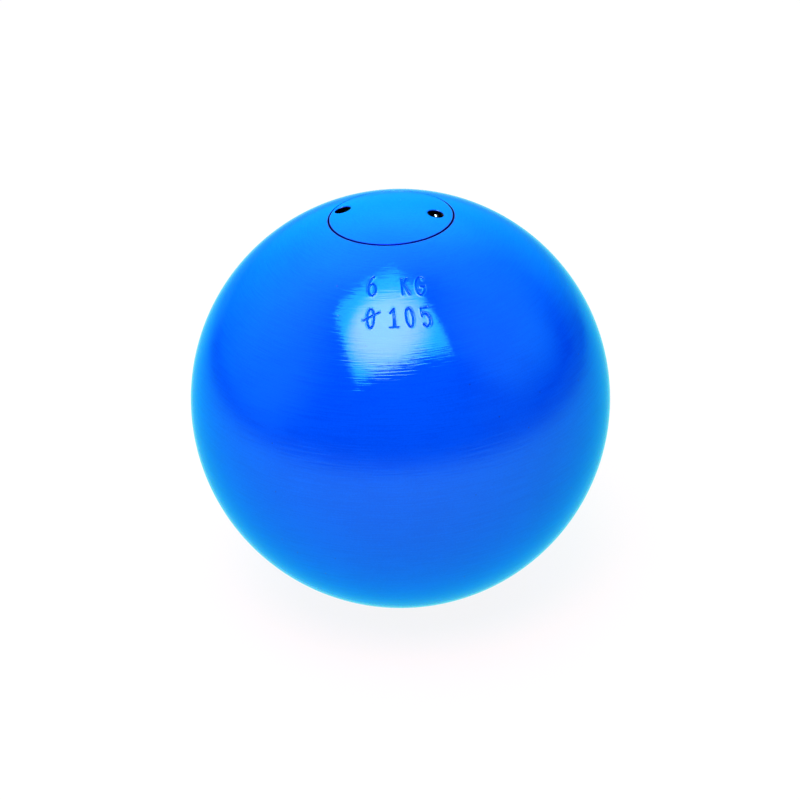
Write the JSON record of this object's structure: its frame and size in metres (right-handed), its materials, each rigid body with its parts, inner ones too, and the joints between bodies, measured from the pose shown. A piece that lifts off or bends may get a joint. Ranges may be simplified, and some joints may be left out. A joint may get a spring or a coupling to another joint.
{
  "type": "shot put ball",
  "caption": "Painted steel throwing ball filled with lead, closed by a flush screwed plug with two blind holes for a pin spanner.",
  "frame": {"origin": "centre of the ball", "axes": "+Z along the closing plug's axis, pointing out of the ball; -Y is the side that carries the size marks"},
  "size_m": [0.105, 0.105, 0.105],
  "materials": {
    "blue_paint": "satin",
    "plug_paint": "satin",
    "cast_lead": "matte",
    "sheet_lead": "satin",
    "hard_rubber": "matte"
  },
  "bodies": {
    "ball": {"shell": "blue_paint", "lead_core": "cast_lead", "trim_disc_1": "sheet_lead", "trim_disc_2": "sheet_lead", "trim_disc_3": "sheet_lead", "trim_disc_4": "sheet_lead"},
    "packing": {"packing_disc": "hard_rubber"},
    "closing_plug": {"plug": "plug_paint"}
  },
  "joints": [
    {"name": "plug_rise", "type": "slide", "parent": "ball", "child": "packing", "axis": [0, 0, 1], "range_m": [0, 0.01]},
    {"name": "plug_turn", "type": "hinge", "parent": "packing", "child": "closing_plug", "pos_m": [0, 0, 0.045], "axis": [0, 0, 1], "range_deg": [0, 1800]}
  ],
  "couplings": [
    {"joint": "plug_turn", "follows": "plug_rise", "rad_per_m": 3141.6}
  ]
}
